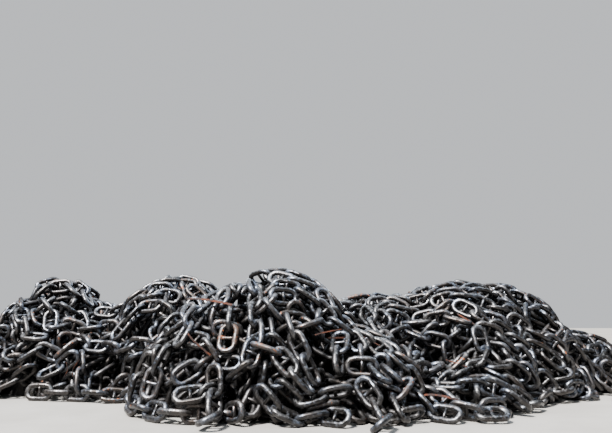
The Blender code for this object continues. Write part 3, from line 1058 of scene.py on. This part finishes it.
def makeDullFinish(key):
    # rough steel without a shine, near-black as painted shade for the hidden body; a strap's light colour comes in
    # broad streaks
    material, tree, inputs, values = newMaterial(key)
    skin = placeGroup(tree, "skin", values["pits"])
    rust = placeGroup(tree, "rust", values["rust"])
    shade = skin["Mottle"]
    if "mottleInStreaks" in values:
        share = values["mottleInStreaks"]
        shade = times(tree, addMask(tree, "streak"), plus(tree, times(tree, shade, share), 1 - share))
    colour = addMix(tree, shade, values["dark"], values["light"])
    colour = addMix(tree, times(tree, rust["Mask"], values["rustShown"]), colour, rust["Colour"])
    tree.links.new(colour, inputs["Base Color"])
    tree.links.new(addRange(tree, skin["Mottle"], 0.0, 1.0, *values["roughness"]), inputs["Roughness"])
    inputs["Specular IOR Level"].default_value = values["specular"]
    addBump(tree, inputs, skin["Height"], *values["bump"])
    return material


def makeFloorFinish():
    material, tree, inputs, values = newMaterial("floor")
    tree.links.new(addMix(tree, addMask(tree, "floor"), values["dark"], values["light"]), inputs["Base Color"])
    inputs["Roughness"].default_value = values["roughness"]
    return material


chainFinish = makeChainFinish()
hiddenShadeFinish = makeDullFinish("hiddenShade")
strapFinish = makeDullFinish("strap")
floorFinish = makeFloorFinish()
print("finishes made")


# pieces
chainLook = {
    "seed": 31,
    "tone": (0.38, 0.38),  # middle and spread, one tone for each link
    "rusty": (1.3, 2.2),  # the two powers of a beta spread
    "paintedShadeDepths": (0.07, 0.34),  # painted shade below the outer surface: none down to the first depth, full from the second
    "crownWear": 0.25,
    "bearingWear": 0.7,
    "bearingFrom": 0.3,
    "sliceEdges": (-7.0, 7.0),  # the loose chain is one piece for each slice along x
    "slices": 8,
}
innerCore = {"cuts": (110, 52), "reach": (14.0, 7.0), "inset": settling["coreInset"] - 0.02, "ground": 0.002}
lookSource = np.random.default_rng(chainLook["seed"])


def setValue(mesh, name, values):
    layer = mesh.attributes.new(name, "FLOAT", "POINT")
    layer.data.foreach_set("value", values.astype(np.float32))


def crownWear(points):
    # crowns are rubbed bright outside, and most where the next link bears on them
    past = np.abs(points[:, 0]) - halfStraight
    along = np.clip(past / (crownRadius + barRadius), 0, 1)
    out = np.hypot(np.clip(past, 0, None), points[:, 1])
    bearing = np.clip((crownRadius - out) / barRadius, 0, 1) * (along > chainLook["bearingFrom"])
    return chainLook["crownWear"] * along + chainLook["bearingWear"] * bearing


def chainPiece(name, pattern, centres, turns):
    points = placeLinks(pattern["points"], centres, turns).reshape(-1, 3)
    clean, black = chainLook["paintedShadeDepths"]
    # painted shade: points deeper below the heap's outer surface get more of it, in place of the shadow in the gaps
    paintedShade = np.clip((howDeep(points - heapShift) - clean) / (black - clean), 0, 1)
    total = len(centres)
    perLink = len(pattern["points"])
    corners = (pattern["corners"][None, :] + np.arange(total)[:, None] * perLink).ravel()
    counts = np.tile(pattern["counts"], total)
    mesh = bpy.data.meshes.new(name)
    mesh.vertices.add(len(points))
    mesh.vertices.foreach_set("co", points.astype(np.float32).ravel())
    mesh.loops.add(len(corners))
    mesh.loops.foreach_set("vertex_index", corners.astype(np.int32))
    mesh.polygons.add(len(counts))
    mesh.polygons.foreach_set("loop_start", (np.cumsum(counts) - counts).astype(np.int32))
    mesh.polygons.foreach_set("use_smooth", counts < 5)
    mesh.update(calc_edges=True)
    setValue(mesh, "tone", np.repeat(np.clip(lookSource.normal(*chainLook["tone"], total), 0, 1), perLink))
    setValue(mesh, "rusty", np.repeat(lookSource.beta(*chainLook["rusty"], total), perLink))
    setValue(mesh, "worn", np.tile(crownWear(pattern["points"]), total))
    setValue(mesh, "paintedShade", paintedShade)
    mesh.materials.append(chainFinish)
    piece = bpy.data.objects.new(name, mesh)
    bpy.context.scene.collection.objects.link(piece)
    return piece


for key, (centres, turns, offset) in runLinks.items():
    piece = chainPiece("run_" + key, fineLink, centres + offset, turns)
    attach(piece, "root")
    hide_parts("chain_run_" + key)

edges = np.linspace(*chainLook["sliceEdges"], chainLook["slices"] + 1)
for index in range(chainLook["slices"]):
    along = linkCentres[:, 0]
    chosen = np.flatnonzero(~linkFixed & (along >= edges[index]) & (along < edges[index + 1]))
    piece = chainPiece(f"loose_chain_{index + 1}", plainLink, linkCentres[chosen] + heapShift, linkTurns[chosen])
    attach(piece, "root")
    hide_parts("heap_core")


def makeInnerCore():
    # a body under the loose chain, seen through its gaps; its near-black colour is painted shade for the shadowed
    # chain inside
    deselectAll()
    across, along = innerCore["cuts"]
    bpy.ops.mesh.primitive_grid_add(x_subdivisions=across, y_subdivisions=along, size=1)
    core = bpy.context.object
    core.name = "inner_chain"
    mesh = core.data
    points = np.array([v.co[:] for v in mesh.vertices])
    x = points[:, 0] * innerCore["reach"][0]
    y = points[:, 1] * innerCore["reach"][1]
    z = heapHeight(x, y, innerCore["inset"])
    mesh.vertices.foreach_set("co", (np.stack([x, y, z], axis=1) + heapShift).ravel())
    editAll()
    bpy.ops.mesh.bisect(plane_co=(0, 0, innerCore["ground"]), plane_no=(0, 0, 1), use_fill=True, clear_inner=True)
    closeMesh()
    mesh.materials.append(hiddenShadeFinish)
    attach(core, "root")
    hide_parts("heap_core")


makeInnerCore()


# rusty straps
rustyStraps = {
    # x, y, heading, length, arch, width
    "rusty_strap_left": (-1.18, -2.15, -24, 0.80, 20, 0.045),
    "rusty_strap_middle": (0.70, -2.30, 52, 0.90, 25, 0.025),
    "rusty_strap_right": (2.16, -2.62, -14, 0.66, 60, 0.045),
}
strapScraps = {
    # torn ends caught between the links: x, y, heading, length, arch, width, lean to one side, depth
    "scrap_front": (0.73, -2.35, 16, 0.32, 75, 0.026, 40, 0.02),
    "scrap_left": (-1.26, -2.55, -26, 0.52, 35, 0.030, 35, 0.03),
    "scrap_dark": (1.16, -2.14, -31, 0.56, 40, 0.016, 60, 0.02),
    "scrap_right": (2.57, -1.69, -49, 0.40, 30, 0.022, 50, 0.03),
    "scrap_face": (2.94, -1.25, -27, 0.50, 40, 0.028, 30, 0.03),
    "scrap_hanging": (-3.64, -0.78, -105, 0.34, 60, 0.030, 75, 0.02),
    "scrap_twisted": (-3.76, -0.76, -70, 0.30, -50, 0.026, 60, 0.02),
    "scrap_back": (-3.10, 2.05, 160, 0.60, 45, 0.032, 30, 0.03),
    "scrap_back_right": (3.40, 2.10, 20, 0.55, 40, 0.030, -30, 0.03),
}
strapSheet = {
    "thickness": 0.007, "scrapThickness": 0.004, "steps": 36, "ragged": 0.0022, "wave": 0.004, "waves": 10,
    "edgeFrom": 0.4,  # of the width, from the middle: what lies further out is ragged
    "roundingInWalls": 0.2, "smoothAngle": 40,
}


def bendStrip(name, length, arch, width):
    # one point is drawn out to the strip's end edge, and the edge swept round the arch
    bend = abs(math.radians(arch))
    radius = length / bend
    deselectAll()
    bpy.ops.mesh.primitive_plane_add(size=1, location=(0, 0, 0))
    strip = bpy.context.object
    strip.name = name
    editAll()
    bpy.ops.mesh.merge(type="CENTER")
    for _ in range(3):
        extrudeBy(0, width / 3, 0)
    bpy.ops.mesh.select_all(action="SELECT")
    bpy.ops.transform.translate(value=(0, -width / 2, 0))
    bpy.ops.mesh.spin(steps=strapSheet["steps"], angle=bend, center=(0, 0, -radius), axis=(0, 1, 0))
    bpy.ops.object.mode_set(mode="OBJECT")
    edgeSource = np.random.default_rng(len(name))
    points = np.array([v.co[:] for v in strip.data.vertices])
    angle = np.abs(np.arctan2(points[:, 0], points[:, 2] + radius)) - bend / 2
    wave = strapSheet["wave"] * np.sin(angle / bend * strapSheet["waves"] + len(name))
    points[:, 0] = (radius + wave) * np.sin(angle)
    points[:, 2] = math.copysign(1, arch) * ((radius + wave) * np.cos(angle) - radius)
    edge = np.abs(points[:, 1]) > width * strapSheet["edgeFrom"]
    points[edge, 1] -= np.sign(points[edge, 1]) * edgeSource.uniform(0, strapSheet["ragged"] * 2, edge.sum())
    strip.data.vertices.foreach_set("co", points.ravel())
    return strip


def thickenStrip(strip, thickness):
    wall = strip.modifiers.new("wall", "SOLIDIFY")
    wall.thickness = thickness
    wall.offset = 0
    rounding = strip.modifiers.new("rounding", "BEVEL")
    rounding.width = wall.thickness * strapSheet["roundingInWalls"]
    rounding.segments = 2
    rounding.limit_method = "ANGLE"
    for modifier in ("wall", "rounding"):
        bpy.ops.object.modifier_apply(modifier=modifier)
    editAll()
    closeMesh()


def makeStrap(name, x, y, heading, length, arch, width, lean=0.0, depth=None, node=None):
    strap = bendStrip(name, length, arch, width)
    thickenStrip(strap, strapSheet["thickness"] if node else strapSheet["scrapThickness"])
    middle = surfacePoint(x, y)
    axis = nextJoint(middle, math.radians(heading)) - middle
    turn = linkTurn(np.zeros(3), axis, surfaceNormal(x, y, runInset), lean)
    points = np.array([v.co[:] for v in strap.data.vertices]) @ turn.T
    if node:
        points += boxMiddle(*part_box(node)) - boxMiddle(points.min(axis=0), points.max(axis=0))
        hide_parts(node)
    else:
        points += np.array([x, y, float(heapHeight(x, y, depth))]) + heapShift
    strap.data.vertices.foreach_set("co", points.ravel())
    strap.data.update()
    bpy.ops.object.shade_smooth_by_angle(angle=math.radians(strapSheet["smoothAngle"]))
    strap.data.materials.append(strapFinish)
    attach(strap, "root")


for key, values in rustyStraps.items():
    makeStrap(key.replace("rusty_strap", "strap"), *values, node=key)
for key, values in strapScraps.items():
    makeStrap(key, *values)
print("straps laid")


# floor, light and camera
deselectAll()
bpy.ops.mesh.primitive_plane_add(size=80, location=(0, 0, 0))
floor = bpy.context.object
floor.name = "floor"
floor.data.materials.append(floorFinish)

studioLight = {
    # what lights the chain, and what the camera sees behind it
    "air": {"Color": (0.66, 0.76, 0.92, 1), "Strength": 0.20},
    "backdrop": {"Color": (0.78, 0.80, 0.83, 1), "Strength": 0.9},
    "keyLight": {"power": 12, "colour": (1, 0.99, 0.98), "tilt": (27, -25, 0), "degreesWide": 10},
    "topBox": {"power": 1000, "colour": (0.80, 0.90, 1), "place": (-1.0, 0.5, 7.0), "size": (18, 10)},
    "backBox": {"power": 900, "colour": (0.80, 0.90, 1), "place": (1.0, 9.5, 5.5), "tilt": (-58, 0, 0),
                "size": (15, 4)},
}


def makeWorld():
    world = bpy.data.worlds.new("studioAir")
    world.use_nodes = True
    tree = world.node_tree
    mix = tree.nodes.new("ShaderNodeMixShader")
    tree.links.new(tree.nodes.new("ShaderNodeLightPath").outputs["Is Camera Ray"], mix.inputs["Fac"])
    backgrounds = (tree.nodes["Background"], tree.nodes.new("ShaderNodeBackground"))
    for place, (node, key) in enumerate(zip(backgrounds, ("air", "backdrop"))):
        for label, value in studioLight[key].items():
            node.inputs[label].default_value = value
        tree.links.new(node.outputs[0], mix.inputs[place + 1])
    tree.links.new(mix.outputs[0], tree.nodes["World Output"].inputs["Surface"])
    bpy.context.scene.world = world


def addLamp(name):
    values = studioLight[name]
    light = bpy.data.lights.new(name, "AREA" if "size" in values else "SUN")
    light.energy = values["power"]
    light.color = values["colour"]
    if "size" in values:
        light.shape = "RECTANGLE"
        light.size, light.size_y = values["size"]
    else:
        light.angle = math.radians(values["degreesWide"])
    lamp = bpy.data.objects.new(name, light)
    lamp.location = values.get("place", (0, 0, 0))
    lamp.rotation_euler = [math.radians(angle) for angle in values.get("tilt", (0, 0, 0))]
    lamp.visible_camera = False
    bpy.context.scene.collection.objects.link(lamp)


makeWorld()
for name in ("keyLight", "topBox", "backBox"):
    addLamp(name)

cameraView = {
    "place": (0.27, -11.17, 1.5),  # in the heap's own coordinates
    "tilt": 98.857,
    "sensor": 36,
    "focalPixels": 600,
    "pixelsWide": 612,
    "furthest": 200,
}
camera = bpy.data.objects.new("camera", bpy.data.cameras.new("camera"))
camera.data.lens = cameraView["sensor"] * cameraView["focalPixels"] / cameraView["pixelsWide"]
camera.data.sensor_width = cameraView["sensor"]
camera.data.clip_end = cameraView["furthest"]
camera.location = np.array(cameraView["place"]) + heapShift
camera.rotation_euler = (math.radians(cameraView["tilt"]), 0, 0)
bpy.context.scene.collection.objects.link(camera)
bpy.context.scene.camera = camera

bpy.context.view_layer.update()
print("done in", round(time.time() - startedAt, 1), "seconds")
